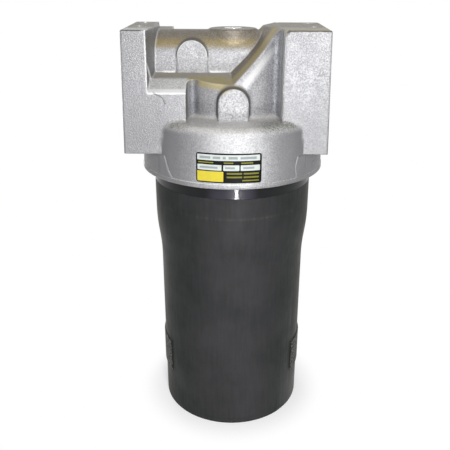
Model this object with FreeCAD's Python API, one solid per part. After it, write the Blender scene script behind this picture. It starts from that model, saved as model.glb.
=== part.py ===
import FreeCAD, Part
import math
import os

# In-line hydraulic filter, standing upright on the flat base of its bowl.
# A die-cast head carries two side ports, a pleated element hangs inside on a spigot,
# and a black bowl screws up into the head from below.
# Millimetres, +Z up, front of the head towards -Y, origin at the centre of the base.

V = FreeCAD.Vector
X_AXIS = V(1, 0, 0)
Y_AXIS = V(0, 1, 0)
Z_AXIS = V(0, 0, 1)

# Clearances between mating pieces
seat_gap = 0.3          # between a shoulder or a face and its seat
thread_gap = 0.3        # radial, between the two plain cylinders that stand for a thread
slide_gap = 0.08        # radial, for a stem or a turned nose in its bore
press_gap = 0.02        # radial, for a piece that is pressed or pushed home
seal_gap = 0.05         # between a squeezed ring and the wall that it seals on
rest_gap = 0.05         # between the end of a spring and what it presses on
poppet_lift_off = 0.05  # between the bypass poppet and its seat
cut_past = 5.0          # how far a cut runs past what it cuts
coil_steps = 20         # straight pieces in one turn of a spring
wire_sides = 10
coil_end_close = 0.7    # 1 closes the end coils fully, 0 leaves an even pitch
ring_squeeze = 0.83     # depth of a seal groove over the section of its ring
ring_stretch = 1.1      # width of a squeezed ring over its section
ring_corner = 0.42      # corner radius of a squeezed ring over its depth
ring_side_gap = 0.1     # between a ring and the sides of its groove
groove_stretch = 1.2    # width of a seal groove over the section of its ring

# Bowl: an extruded cup, thick at the threaded mouth
bowl_length = 240.5     # base to the shoulder that meets the head
bowl_lower_r = 64.8
bowl_upper_r = 68.4
bowl_wall = 5.3
bowl_floor = 8.0
bowl_edge_r = 1.5
bowl_corner_r = 6.0
taper_length = 47.0
upper_length = 42.5     # straight stretch between the taper and the shoulder
band_length = 15.6      # bright machined band under the shoulder
band_step = 0.25
thread_r = 66.2
thread_length = 21.0
thread_undercut = 1.0
nose_r = 64.4
nose_length = 9.0
mouth_chamfer = 1.2

# Grip pads on the two sides of the bowl
pad_z = 38.0
pad_height = 32.0
pad_angle = 60.5
pad_rise = 1.1
pad_ribs = 8
rib_share = 0.6         # rib height over rib pitch
rib_depth = 0.6

# Seal on the nose of the bowl
bowl_ring_section = 3.5
backup_width = 1.4
groove_slack = 0.4
groove_land = 2.2       # solid lip between the groove and the mouth

# Head, round body
head_entry_depth = 4.0  # how far the bowl's full diameter runs into the head
head_entry_gap = 0.45
rim_r = 77.9
rim_lip_height = 3.4
rim_lip_step = 0.5
body_waist_r = 77.1
body_waist_h = 26.0     # heights here are above the rim
body_upper_r = 75.7
body_upper_h = 36.8
shoulder_r = 68.8
shoulder_h = 46.4
shoulder_bulge_out = 1.74  # how far the rounded shoulder stands off its chord
shoulder_bulge_up = 2.03
crown_r = 51.8
crown_h = 47.7
neck_r = 46.8
neck_start_h = 52.6
neck_blend_in = 1.4
chamber_r = 58.0
chamber_height = 4.0    # above the mouth of the bowl
neck_core_outer_r = 37.0   # cored space round the outlet riser, inside the neck
neck_core_inner_r = 22.0
neck_core_height = 20.0
chamber_corner_r = 2.5

# Head, port blocks
block_drop_h = 21.2     # underside of the blocks above the rim
block_height = 94.0
block_front_y = 50.8    # at the top, the draft makes the blocks wider below
block_back_y = 30.0
left_face_x = 84.1
right_face_x = 74.1
draft_deg = 1.25
right_block_edge_x = 38.6
left_foot_edge_x = 36.2
block_edge_r = 1.6
foot_slope_run = 15.0   # sloped front edge on top of the left foot
foot_slope_fall = 4.2
rear_ledge_x = 50.5
rear_ledge_drop = 3.6
rear_ledge_start_x = 63.7

# Head, cross gallery, shelf and pocket
port_drop = 26.8        # port axis below the top of the blocks
gallery_r = 23.4
gallery_inset = 5.0     # ends of the gallery inside the port faces
shelf_below_port = 7.8
shelf_fall_deg = 14.5
diagonal_deg = 44.4
diagonal_x = -2.0
pocket_wall_x = 65.3
pocket_wall_deg = 6.0

# Head, cast bosses
boss_r = 12.2
boss_one_x = -32.4
boss_one_rise = 4.8     # above the port axis
boss_one_stand = 0.7    # face in front of the gallery wall
boss_two_x = 0.6
boss_two_h = 60.4       # centre above the rim
boss_two_stand = 6.0    # face in front of the neck
top_boss_r = 19.0
top_boss_proud = 0.9    # above the crest of the gallery

# Head, cast blends
boss_root_r = 4.5       # between the front boss and the neck
block_root_r = 5.0      # between the port blocks and the neck
body_root_r = 3.8       # between the port blocks and the round body, in front
top_boss_root_r = 4.0
foot_bend_r = 4.0       # where the top of the left foot turns down
cast_edge_r = 1.2       # every other outer edge

# Ports and fastening holes
port_thread_r = 15.65
port_thread_depth = 19.5
port_chamfer_r = 17.3
port_chamfer_depth = 3.3
spotface_r = 24.5
spotface_depth = 0.6
passage_r = 13.4
inlet_drop_x = 52.0     # centre of the passage down to the chamber
inlet_drop_width = 14.0
inlet_drop_length = 34.0
mount_hole_r = 4.25
mount_hole_depth = 16.0
mount_pitch_x = 138.0
mount_pitch_y = 36.0
drill_point_deg = 59.0

# Bypass valve, lying in the gallery between the inlet and the outlet
valve_bore_r = 14.5
valve_inner_end_x = -14.0
valve_length = 30.0
valve_seat_r = 9.0
valve_seat_length = 8.0
valve_sleeve_bore_r = 12.3
valve_groove_start = 2.5
poppet_r = 10.4
poppet_rim = 2.0
poppet_cone_r = 7.6
poppet_cone_tip_r = 6.4
poppet_cone_length = 2.6
poppet_stem_r = 2.5
poppet_stem_length = 22.0
guide_length = 3.0
guide_hub_r = 5.0
guide_spoke = 3.0
valve_wire = 1.6
valve_coils = 5
valve_spring_r = 7.2
valve_ring_section = 2.4
valve_clip_width = 1.5
valve_clip_depth = 1.3     # groove below the wall of the bore
valve_clip_inside = 1.8    # how far the ring stands into the bore
valve_clip_gap = 7.0

# Bleed plug in the top boss
bleed_thread_r = 5.5
bleed_thread_length = 9.0
bleed_head_r = 7.2
bleed_head_height = 1.6
bleed_hex = 4.8
bleed_hex_depth = 4.5
bleed_head_proud = 0.4
bleed_head_chamfer = 0.3
bleed_thread_gap = 0.1
bleed_lead = 0.6
bleed_neck_depth = 0.8
bleed_ring_width = 2.0

# Outlet spigot, pressed into the roof of the chamber
spigot_bore_r = 12.6
spigot_shank_r = 17.5
spigot_shank_length = 7.0
spigot_collar_r = 21.0
spigot_collar_height = 3.0
spigot_nose_r = 16.4
spigot_nose_length = 20.0
spigot_lead = 1.5

# Element
element_r = 46.0
pleats = 36
pleat_crest_half = 1.7     # half the width of the rounded crest, seen from outside
pleat_valley_half = 0.55
media_gap = 0.15           # between the pleats and the core tube or the cap's skirt
media_thickness = 1.2
cap_thickness = 1.6
cap_skirt = 5.0
cap_hub_wall = 4.4
cap_hub_depth = 13.0
hub_ring_section = 3.0
core_r = 26.5
core_wall = 1.0
core_slots_round = 6
core_slot_rows = 5
core_slot_width = 7.0
core_slot_share = 0.62

# Spring that holds the element up from the floor of the bowl
lift_wire = 3.0
lift_coils = 3
lift_spring_r = 26.0
lift_height = 17.0
lift_seat_thickness = 1.5
lift_seat_r = 33.0
lift_seat_hole_r = 9.0
lift_seat_skirt = 4.0

# Worked-out places
shoulder_z = bowl_length
bowl_bore_r = bowl_lower_r - bowl_wall
thread_top_z = shoulder_z + thread_length
mouth_z = thread_top_z + nose_length
rim_z = shoulder_z + seat_gap - head_entry_depth
seal_bore_r = nose_r + thread_gap
roof_z = mouth_z + chamber_height
block_bottom_z = rim_z + block_drop_h
top_z = block_bottom_z + block_height
port_z = top_z - port_drop
crest_z = port_z + gallery_r
shelf_z = port_z - shelf_below_port
block_centre_x = (right_face_x - left_face_x) / 2
draft_spread = block_height * math.tan(math.radians(draft_deg))
ring_groove_depth = bowl_ring_section * ring_squeeze
bowl_ring_width = bowl_ring_section * ring_stretch
ring_groove_top_z = mouth_z - groove_land
ring_groove_width = bowl_ring_width + backup_width + groove_slack
collar_bottom_z = roof_z - spigot_collar_height
cap_top_z = collar_bottom_z - seat_gap
lift_seat_z = bowl_floor + lift_height
element_bottom_z = lift_seat_z + lift_seat_thickness + seat_gap
valve_outer_end_x = valve_inner_end_x - valve_length
bleed_seat_z = crest_z + top_boss_proud + bleed_head_proud - bleed_head_height


def turned(points, axis=Z_AXIS, centre=V(0, 0, 0)):
    """Turn a closed outline of (radius, height) corners about a line through centre."""
    wire = Part.makePolygon([V(r, 0, h) for r, h in points] + [V(points[0][0], 0, points[0][1])])
    solid = Part.Face(wire).revolve(V(0, 0, 0), Z_AXIS, 360)
    return placed(solid, axis, centre)


def placed(solid, axis, centre):
    """Lay a solid that was made about +Z along another axis, and move it to its place."""
    solid.Placement = FreeCAD.Placement(centre, FreeCAD.Rotation(Z_AXIS, axis))
    return solid


def rod(radius, length, start, axis=Z_AXIS):
    return Part.makeCylinder(radius, length, start, axis)


def block(x0, x1, y0, y1, z0, z1):
    return Part.makeBox(x1 - x0, y1 - y0, z1 - z0, V(x0, y0, z0))


def lofted(wires):
    return Part.makeLoft(wires, True, True)


def rectangle(x0, x1, y0, y1, z):
    return Part.makePolygon([V(x0, y0, z), V(x1, y0, z), V(x1, y1, z), V(x0, y1, z), V(x0, y0, z)])


def squeezed_ring(inner_r, outer_r, width, z_mid):
    """A round sealing ring as it lies in its groove: flat where it is squeezed."""
    corner = (outer_r - inner_r) * ring_corner
    solid = turned([(inner_r, z_mid - width / 2), (outer_r, z_mid - width / 2),
                    (outer_r, z_mid + width / 2), (inner_r, z_mid + width / 2)])
    return solid.makeFillet(corner, ring_edges(solid))


def ring_edges(solid):
    """The closed round edges of a turned solid."""
    return [edge for edge in solid.Edges if edge.isClosed() and isinstance(edge.Curve, Part.Circle)]


def middle(edge):
    return edge.valueAt((edge.FirstParameter + edge.LastParameter) / 2)


def softened(solid, radius, wanted):
    """Round every edge whose middle passes a test. Edges that can't be rounded stay sharp."""
    chosen = [edge for edge in solid.Edges if wanted(middle(edge))]
    if not chosen:
        return solid
    try:
        rounded = solid.makeFillet(radius, chosen)
    except Part.OCCError:
        return solid
    return rounded if rounded.isValid() else solid


def drilled(radius, depth, mouth, direction):
    """A drilled hole with the cone that a twist drill leaves at its end."""
    hole = rod(radius, depth, mouth, direction)
    point_length = radius / math.tan(math.radians(drill_point_deg))
    point = Part.makeCone(radius, 0, point_length, mouth + direction * depth, direction)
    return hole.fuse(point)


def coil(mean_r, wire_d, start, length, turns):
    """A compression spring about +Z with its end coils closed up, drawn with flats."""
    sections = []
    for step in range(turns * coil_steps + 1):
        turn = 2 * math.pi * step / coil_steps
        done = step / (turns * coil_steps)
        climb = (1 - coil_end_close) * done + coil_end_close * done ** 2 * (3 - 2 * done)
        middle = start + wire_d / 2 + (length - wire_d) * climb
        corners = []
        for side in range(wire_sides):
            around = 2 * math.pi * side / wire_sides
            r = mean_r + wire_d / 2 * math.cos(around)
            corners.append(V(r * math.cos(turn), r * math.sin(turn), middle + wire_d / 2 * math.sin(around)))
        sections.append(Part.makePolygon(corners + corners[:1]))
    return lofted(sections)


def make_bowl():
    """Cup with a flat base, an S-shaped taper and a stepped mouth for thread and seal."""
    taper_end = shoulder_z - upper_length
    taper_start = taper_end - taper_length
    step = bowl_upper_r - bowl_lower_r
    bend_r = (taper_length ** 2 + step ** 2) / (4 * step)
    middle = V(bowl_lower_r + step / 2, 0, (taper_start + taper_end) / 2)
    turn = math.asin(taper_length / 2 / bend_r) / 2
    lower_mid = V(bowl_lower_r + bend_r * (1 - math.cos(turn)), 0, taper_start + bend_r * math.sin(turn))
    upper_mid = V(bowl_upper_r - bend_r * (1 - math.cos(turn)), 0, taper_end - bend_r * math.sin(turn))
    band_z = shoulder_z - band_length
    band_r = bowl_upper_r - band_step
    start = V(bowl_lower_r, 0, taper_start)
    end = V(bowl_upper_r, 0, taper_end)
    outside = [V(0, 0, 0), V(bowl_lower_r, 0, 0), start]
    mouth = [end, V(bowl_upper_r, 0, band_z), V(band_r, 0, band_z + band_step), V(band_r, 0, shoulder_z),
             V(thread_r - thread_undercut, 0, shoulder_z),
             V(thread_r - thread_undercut, 0, shoulder_z + thread_undercut * 2),
             V(thread_r, 0, shoulder_z + thread_undercut * 3), V(thread_r, 0, thread_top_z),
             V(nose_r, 0, thread_top_z + (thread_r - nose_r)), V(nose_r, 0, mouth_z - mouth_chamfer),
             V(nose_r - mouth_chamfer, 0, mouth_z), V(bowl_bore_r, 0, mouth_z),
             V(bowl_bore_r, 0, bowl_floor), V(0, 0, bowl_floor), V(0, 0, 0)]
    edges = [Part.makeLine(a, b) for a, b in zip(outside, outside[1:])]
    edges.append(Part.Arc(start, lower_mid, middle).toShape())
    edges.append(Part.Arc(middle, upper_mid, end).toShape())
    edges += [Part.makeLine(a, b) for a, b in zip(mouth, mouth[1:])]
    cup = Part.Face(Part.Wire(edges)).revolve(V(0, 0, 0), Z_AXIS, 360)
    for pad in make_grip_pads():
        cup = cup.fuse(pad)
    groove = turned([(nose_r - ring_groove_depth, ring_groove_top_z - ring_groove_width),
                     (nose_r + 1, ring_groove_top_z - ring_groove_width),
                     (nose_r + 1, ring_groove_top_z), (nose_r - ring_groove_depth, ring_groove_top_z)])
    cup = cup.cut(groove)
    cup = cup.makeFillet(bowl_edge_r, circles_at(cup, bowl_lower_r, 0))
    return cup.makeFillet(bowl_corner_r, circles_at(cup, bowl_bore_r, bowl_floor))


def circles_at(solid, radius, z):
    """Round edges of one radius about the bowl's axis, at one height."""
    return [edge for edge in ring_edges(solid)
            if abs(edge.Curve.Radius - radius) < 0.01 and abs(edge.Curve.Center.z - z) < 0.01]


def make_grip_pads():
    """Two raised pads with level ribs, rolled into the sides of the bowl for grip."""
    root_r = bowl_lower_r - 1
    top_r = bowl_lower_r + pad_rise
    valley_r = top_r - rib_depth
    pitch = pad_height / pad_ribs
    outline = [(root_r, pad_z)]
    for rib in range(pad_ribs):
        base = pad_z + rib * pitch
        outline += [(valley_r, base), (top_r, base + pitch * (1 - rib_share) / 2),
                    (top_r, base + pitch * (1 + rib_share) / 2)]
    outline += [(valley_r, pad_z + pad_height), (root_r, pad_z + pad_height), (root_r, pad_z)]
    face = Part.Face(Part.makePolygon([V(r, 0, z) for r, z in outline]))
    face.rotate(V(0, 0, 0), Z_AXIS, -pad_angle / 2)
    pad = face.revolve(V(0, 0, 0), Z_AXIS, pad_angle)
    other = pad.copy()
    other.rotate(V(0, 0, 0), Z_AXIS, 180)
    return [pad, other]


def make_round_body():
    """Round lower part of the head with its crown and the neck above it, solid for now."""
    def at(r, h):
        return V(r, 0, rim_z + h)

    shoulder_mid = at((body_upper_r + shoulder_r) / 2 + shoulder_bulge_out,
                      (body_upper_h + shoulder_h) / 2 + shoulder_bulge_up)
    blend_mid = at(neck_r + neck_blend_in, crown_h + neck_blend_in)
    lower = [at(0, 0), at(rim_r, 0), at(rim_r, rim_lip_height),
             at(rim_r - rim_lip_step, rim_lip_height + rim_lip_step),
             at(body_waist_r, body_waist_h), at(body_upper_r, body_upper_h)]
    edges = [Part.makeLine(a, b) for a, b in zip(lower, lower[1:])]
    edges.append(Part.Arc(lower[-1], shoulder_mid, at(shoulder_r, shoulder_h)).toShape())
    edges.append(Part.makeLine(at(shoulder_r, shoulder_h), at(crown_r, crown_h)))
    edges.append(Part.Arc(at(crown_r, crown_h), blend_mid, at(neck_r, neck_start_h)).toShape())
    upper = [at(neck_r, neck_start_h), V(neck_r, 0, top_z), V(0, 0, top_z), at(0, 0)]
    edges += [Part.makeLine(a, b) for a, b in zip(upper, upper[1:])]
    return Part.Face(Part.Wire(edges)).revolve(V(0, 0, 0), Z_AXIS, 360)


def pocket_outline(side, out, wall_x):
    """Outline in X and Z of the open pocket, at one distance out from the bowl's axis."""
    fall = (out - gallery_r) * math.tan(math.radians(shelf_fall_deg))
    angle = math.radians(diagonal_deg)
    floor = shelf_z - fall
    above = top_z + cut_past
    wall = -wall_x + (block_front_y - out) * math.tan(math.radians(pocket_wall_deg))
    foot = diagonal_x + fall * (1 - math.cos(angle)) / math.sin(angle)
    head = diagonal_x + (fall + (above - shelf_z) * math.cos(angle)) / math.sin(angle)
    y = side * out
    corners = [V(wall, y, floor), V(foot, y, floor), V(head, y, above), V(wall, y, above)]
    return Part.makePolygon(corners + corners[:1])


def pocket_cutter(side, wall_x):
    """Everything above the shelf and the diagonal, on one side of the gallery."""
    return lofted([pocket_outline(side, 0, wall_x), pocket_outline(side, rim_r + cut_past, wall_x)])


def drafted_block(x0, x1, spread_low_x, spread_high_x):
    """Port block: its free faces lean outwards towards the bottom."""
    low = rectangle(x0 - spread_low_x, x1 + spread_high_x,
                    -block_front_y - draft_spread, block_back_y + draft_spread, block_bottom_z)
    high = rectangle(x0, x1, -block_front_y, block_back_y, top_z)
    return lofted([low, high])


def foot_wedge():
    """What is taken off the front of the left foot, so that its top slopes away from the pocket."""
    bend_y = -(block_front_y - foot_slope_run)
    bend_z = shelf_z + (bend_y + gallery_r) * math.tan(math.radians(shelf_fall_deg))
    deep = 3 * foot_slope_run
    fall = deep * (foot_slope_fall / foot_slope_run + math.tan(math.radians(shelf_fall_deg)))
    corners = [V(-pocket_wall_x, bend_y, bend_z), V(-pocket_wall_x, bend_y - deep, bend_z - fall),
               V(-pocket_wall_x, bend_y - deep, bend_z + deep), V(-pocket_wall_x, bend_y, bend_z)]
    width = pocket_wall_x - left_foot_edge_x + block_root_r
    return Part.Face(Part.makePolygon(corners)).extrude(V(width, 0, 0))


def rear_pocket():
    """Rear of the head: the left block is wider here, and steps down beside the column."""
    wall_x = rear_ledge_x + (block_front_y - gallery_r) * math.tan(math.radians(pocket_wall_deg))
    ledge = block(-rear_ledge_start_x, 0, 0, rim_r, top_z - rear_ledge_drop, top_z + cut_past)
    return pocket_cutter(1, wall_x).fuse(ledge)


def cast_boss(x, z, face_y, foot_z):
    """D-shaped boss with a flat unmachined face, as cast for a port that isn't fitted."""
    left = V(x - boss_r, face_y, z)
    right = V(x + boss_r, face_y, z)
    low_left = V(x - boss_r, face_y, foot_z)
    low_right = V(x + boss_r, face_y, foot_z)
    edges = [Part.makeLine(low_left, left), Part.Arc(left, V(x, face_y, z + boss_r), right).toShape(),
             Part.makeLine(right, low_right), Part.makeLine(low_right, low_left)]
    return Part.Face(Part.Wire(edges)).extrude(V(0, -face_y, 0))


def make_upper_casting():
    """Neck, front boss and the two port blocks, with their cast blends."""
    neck = rod(neck_r, block_height, V(0, 0, block_bottom_z))
    left = drafted_block(-left_face_x, -left_foot_edge_x, draft_spread, 0)
    right = drafted_block(right_block_edge_x, right_face_x, 0, draft_spread)
    boss = cast_boss(boss_two_x, rim_z + boss_two_h, -neck_r - boss_two_stand, block_bottom_z)
    solid = neck.fuse([left, right, boss]).removeSplitter()

    def on_neck(m):
        on_wall = abs(math.hypot(m.x, m.y) - neck_r) < 0.01
        return on_wall and m.y < 0 and block_bottom_z + 1 < m.z < top_z - 1

    def at_boss(m):
        return abs(m.x - boss_two_x) < boss_r + 0.01

    solid = softened(solid, boss_root_r, lambda m: on_neck(m) and at_boss(m))
    return softened(solid, block_root_r, lambda m: on_neck(m) and not at_boss(m))


def make_cast_outline():
    """Round body and upper casting joined, then rounded along their seams and outer edges."""
    solid = make_upper_casting().fuse(make_round_body()).removeSplitter()

    def on_front_wall(m):
        return abs(m.y + block_front_y + (top_z - m.z) * math.tan(math.radians(draft_deg))) < 0.1

    def on_body(m):
        return rim_z + body_waist_h + 1 < m.z < rim_z + crown_h - 1

    for side in (-1, 1):
        solid = softened(solid, body_root_r,
                         lambda m: side * m.x > 0 and m.y < 0 and on_body(m) and on_front_wall(m))
    solid = softened(solid, block_edge_r, lambda m: m.z > rim_z + shoulder_h
                     and (m.x > right_face_x - 0.1 or m.x < 0.1 - left_face_x))
    for tool in (pocket_cutter(-1, pocket_wall_x), rear_pocket(), foot_wedge()):
        solid = solid.cut(tool)
    return solid.removeSplitter()


def make_gallery():
    """Cross gallery between the blocks: round on top, with upright sides down to the body."""
    start_x = gallery_inset - left_face_x
    low_z = rim_z + shoulder_h
    back_foot = V(start_x, gallery_r, low_z)
    back = V(start_x, gallery_r, port_z)
    front = V(start_x, -gallery_r, port_z)
    front_foot = V(start_x, -gallery_r, low_z)
    edges = [Part.makeLine(back_foot, back), Part.Arc(back, V(start_x, 0, crest_z), front).toShape(),
             Part.makeLine(front, front_foot), Part.makeLine(front_foot, back_foot)]
    pipe = Part.Face(Part.Wire(edges)).extrude(V(left_face_x + right_face_x - 2 * gallery_inset, 0, 0))
    top = rod(top_boss_r, gallery_r + top_boss_proud, V(0, 0, port_z))
    solid = pipe.fuse(top).removeSplitter()
    solid = softened(solid, top_boss_root_r, lambda m: abs(math.hypot(m.x, m.y) - top_boss_r) < 0.01
                     and port_z < m.z < crest_z + 0.01)
    return solid.fuse(cast_boss(boss_one_x, port_z + boss_one_rise, -gallery_r - boss_one_stand, low_z))


def make_head_body():
    """The whole casting before anything is cored or machined."""
    solid = make_cast_outline()
    bend_y = -(block_front_y - foot_slope_run)
    boss_face_y = -neck_r - boss_two_stand

    def on_foot_front(m):
        on_top = rim_z + boss_two_h < m.z < shelf_z
        return -pocket_wall_x < m.x < -left_foot_edge_x - 3 and m.y < bend_y and on_top

    solid = softened(solid, foot_bend_r, lambda m: abs(m.y - bend_y) < 0.01
                     and -pocket_wall_x + 3 < m.x < -left_foot_edge_x)
    solid = softened(solid, cast_edge_r, lambda m: on_foot_front(m)
                     and abs(m.y + block_front_y + (top_z - m.z) * math.tan(math.radians(draft_deg))) < 0.1)
    solid = softened(solid, cast_edge_r, lambda m: abs(m.y - boss_face_y) < 0.01
                     and m.z > rim_z + crown_h + 1)
    solid = softened(solid, cast_edge_r, lambda m: abs(m.y + block_front_y) < 0.1 and m.z > top_z - 0.1)
    return solid.fuse(make_gallery()).removeSplitter()


def make_bowl_opening():
    """Machined opening for the bowl: entry, thread, seal bore and the chamber above."""
    entry_r = bowl_upper_r + head_entry_gap
    entry_z = rim_z + head_entry_depth
    bore_r = thread_r + thread_gap
    thread_end_z = thread_top_z + seat_gap
    opening = turned([(0, rim_z - 1), (entry_r, rim_z - 1), (entry_r, entry_z), (bore_r, entry_z),
                      (bore_r, thread_end_z), (seal_bore_r, thread_end_z + (bore_r - seal_bore_r)),
                      (seal_bore_r, mouth_z + seat_gap), (chamber_r, mouth_z + seat_gap + 1),
                      (chamber_r, roof_z), (0, roof_z)])
    return opening.makeFillet(chamber_corner_r, circles_at(opening, chamber_r, roof_z))


def make_port_bore(face_x, side):
    """Straight-thread port with a spotface and a chamfer for the sealing ring."""
    outward = V(side, 0, 0)
    face = V(face_x, 0, port_z)
    deep = 2 * draft_spread + spotface_depth
    spot = rod(spotface_r, deep, face - outward * spotface_depth, outward)
    chamfer = Part.makeCone(port_thread_r, port_chamfer_r, port_chamfer_depth,
                            face - outward * (spotface_depth + port_chamfer_depth), outward)
    bottom = face - outward * (spotface_depth + port_thread_depth)
    thread = rod(port_thread_r, port_thread_depth, bottom, outward)
    return spot.fuse(chamfer).fuse(thread)


def make_passages():
    """Cored and bored passages: inlet drop, valve bore, outlet and the hole for the spigot."""
    left_end = -left_face_x + spotface_depth + port_thread_depth
    right_end = right_face_x - spotface_depth - port_thread_depth
    valve_bore = rod(valve_bore_r, valve_inner_end_x - left_end, V(left_end, 0, port_z), X_AXIS)
    clean = rod(passage_r, right_end - valve_inner_end_x, V(valve_inner_end_x, 0, port_z), X_AXIS)
    half = (inlet_drop_length - inlet_drop_width) / 2
    drop_top = port_z - roof_z
    drop = block(-inlet_drop_x - inlet_drop_width / 2, -inlet_drop_x + inlet_drop_width / 2,
                 -half, half, roof_z - 1, port_z)
    for y in (-half, half):
        drop = drop.fuse(rod(inlet_drop_width / 2, drop_top + 1, V(-inlet_drop_x, y, roof_z - 1)))
    riser = rod(spigot_bore_r, port_z - roof_z, V(0, 0, roof_z))
    seat = rod(spigot_shank_r + press_gap, spigot_shank_length + seat_gap, V(0, 0, roof_z - 1))
    clip_groove = valve_clip_width + 2 * ring_side_gap
    clip_start = V(valve_outer_end_x - clip_groove, 0, port_z)
    clip = rod(valve_bore_r + valve_clip_depth, clip_groove, clip_start, X_AXIS)
    core = rod(neck_core_outer_r, neck_core_height + 1, V(0, 0, roof_z - 1))
    core = core.cut(rod(neck_core_inner_r, neck_core_height + 1, V(0, 0, roof_z - 1)))
    return [valve_bore, clean, drop, riser, seat, clip, core]


def make_bleed_hole():
    head_space = rod(bleed_head_r + seat_gap, bleed_head_height, V(0, 0, bleed_seat_z))
    thread = rod(bleed_thread_r, bleed_seat_z - port_z, V(0, 0, port_z))
    return head_space.fuse(thread)


def make_head():
    """Head casting: cast outline first, then everything that is cored or machined."""
    head = make_head_body()
    head = head.cut(make_bowl_opening())
    head = head.cut(make_port_bore(-left_face_x, -1))
    head = head.cut(make_port_bore(right_face_x, 1))
    for tool in make_passages():
        head = head.cut(tool)
    head = head.cut(make_bleed_hole())
    for side_x in (-0.5, 0.5):
        for side_y in (-0.5, 0.5):
            mouth = V(block_centre_x + side_x * mount_pitch_x, side_y * mount_pitch_y, top_z)
            head = head.cut(drilled(mount_hole_r, mount_hole_depth, mouth, V(0, 0, -1)))
    return head


def make_bowl_ring():
    z = ring_groove_top_z - ring_side_gap - bowl_ring_width / 2
    return squeezed_ring(nose_r - ring_groove_depth + seal_gap, seal_bore_r - seal_gap, bowl_ring_width, z)


def make_backup_ring():
    low = ring_groove_top_z - ring_groove_width + ring_side_gap
    high = low + backup_width
    inner = nose_r - ring_groove_depth + seal_gap
    outer = seal_bore_r - seal_gap
    return turned([(inner, low), (outer, low), (outer, high), (inner, high)])


def make_spigot():
    """Turned outlet tube: shank in the head, collar against the roof, nose in the element."""
    nose_end = collar_bottom_z - spigot_nose_length
    return turned([(spigot_bore_r, nose_end), (spigot_nose_r - spigot_lead, nose_end),
                   (spigot_nose_r, nose_end + 2 * spigot_lead), (spigot_nose_r, collar_bottom_z),
                   (spigot_collar_r, collar_bottom_z), (spigot_collar_r, roof_z),
                   (spigot_shank_r, roof_z), (spigot_shank_r, roof_z + spigot_shank_length - 1),
                   (spigot_bore_r, roof_z + spigot_shank_length - 1)])


def hub_ring_z():
    return cap_top_z - cap_hub_depth / 2


def make_upper_cap():
    """Pressed end cap with a rolled hub that holds the sealing ring on the spigot."""
    inner = spigot_nose_r + slide_gap
    hub_r = inner + cap_hub_wall
    groove = hub_ring_section * groove_stretch
    skirt_z = cap_top_z - cap_skirt
    under = cap_top_z - cap_thickness
    hub_z = cap_top_z - cap_hub_depth
    cap = turned([(inner, hub_z), (hub_r, hub_z), (hub_r, under), (element_r, under), (element_r, skirt_z),
                  (element_r + cap_thickness, skirt_z), (element_r + cap_thickness, cap_top_z),
                  (inner, cap_top_z)])
    groove_r = inner + hub_ring_section * ring_squeeze
    low = hub_ring_z() - groove / 2
    high = low + groove
    return cap.cut(turned([(inner - 1, low), (groove_r, low), (groove_r, high), (inner - 1, high)]))


def make_hub_ring():
    inner = spigot_nose_r + seal_gap
    outer = spigot_nose_r + slide_gap + hub_ring_section * ring_squeeze - seal_gap
    return squeezed_ring(inner, outer, hub_ring_section * ring_stretch, hub_ring_z())


def make_lower_cap():
    low = element_bottom_z
    top = low + cap_thickness
    return turned([(0, low), (element_r + cap_thickness, low), (element_r + cap_thickness, low + cap_skirt),
                   (element_r, low + cap_skirt), (element_r, top), (0, top)])


def pleat_outline(crest_r, crest_half, root_r, root_half, z):
    """Star outline of the pleats, with a small flat at each crest and root."""
    corners = []
    step = 2 * math.pi / pleats
    for fold in range(pleats):
        bends = ((crest_r, crest_half, fold * step), (root_r, root_half, (fold + 0.5) * step))
        for radius, half, centre in bends:
            for turn in (centre - half / radius, centre + half / radius):
                corners.append(V(radius * math.cos(turn), radius * math.sin(turn), z))
    return Part.makePolygon(corners + corners[:1])


def make_media():
    """Pleated pack: one folded sheet between the two caps."""
    low = element_bottom_z + cap_thickness
    height = cap_top_z - cap_thickness - low
    crest_r = element_r - media_gap
    root_r = core_r + media_gap
    outside = pleat_outline(crest_r, pleat_crest_half, root_r + media_thickness, pleat_valley_half, low)
    inside = pleat_outline(crest_r - media_thickness, pleat_crest_half - media_thickness,
                           root_r, pleat_valley_half + media_thickness, low)
    core = Part.Face(inside).extrude(V(0, 0, height))
    return Part.Face(outside).extrude(V(0, 0, height)).cut(core)


def make_core_tube():
    """Slotted steel tube that holds the pleats open from inside."""
    low = element_bottom_z + cap_thickness
    height = cap_top_z - cap_thickness - low
    tube = rod(core_r, height, V(0, 0, low)).cut(rod(core_r - core_wall, height, V(0, 0, low)))
    pitch = height / core_slot_rows
    slot_height = pitch * core_slot_share
    cutters = []
    for row in range(core_slot_rows):
        z = low + (row + 0.5) * pitch - slot_height / 2
        for column in range(core_slots_round // 2):
            half = core_slot_width / 2
            slot = block(-2 * core_r, 2 * core_r, -half, half, z, z + slot_height)
            slot.rotate(V(0, 0, 0), Z_AXIS, column * 360 / core_slots_round)
            cutters.append(slot)
    return tube.cut(cutters)


def make_lift_seat():
    """Dished washer between the spring and the lower cap."""
    low = lift_seat_z
    top = low + lift_seat_thickness
    inner = lift_seat_r - lift_seat_thickness
    return turned([(lift_seat_hole_r, low), (inner, low), (inner, low - lift_seat_skirt),
                   (lift_seat_r, low - lift_seat_skirt), (lift_seat_r, top), (lift_seat_hole_r, top)])


def make_lift_spring():
    return coil(lift_spring_r, lift_wire, bowl_floor, lift_height, lift_coils)


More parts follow.
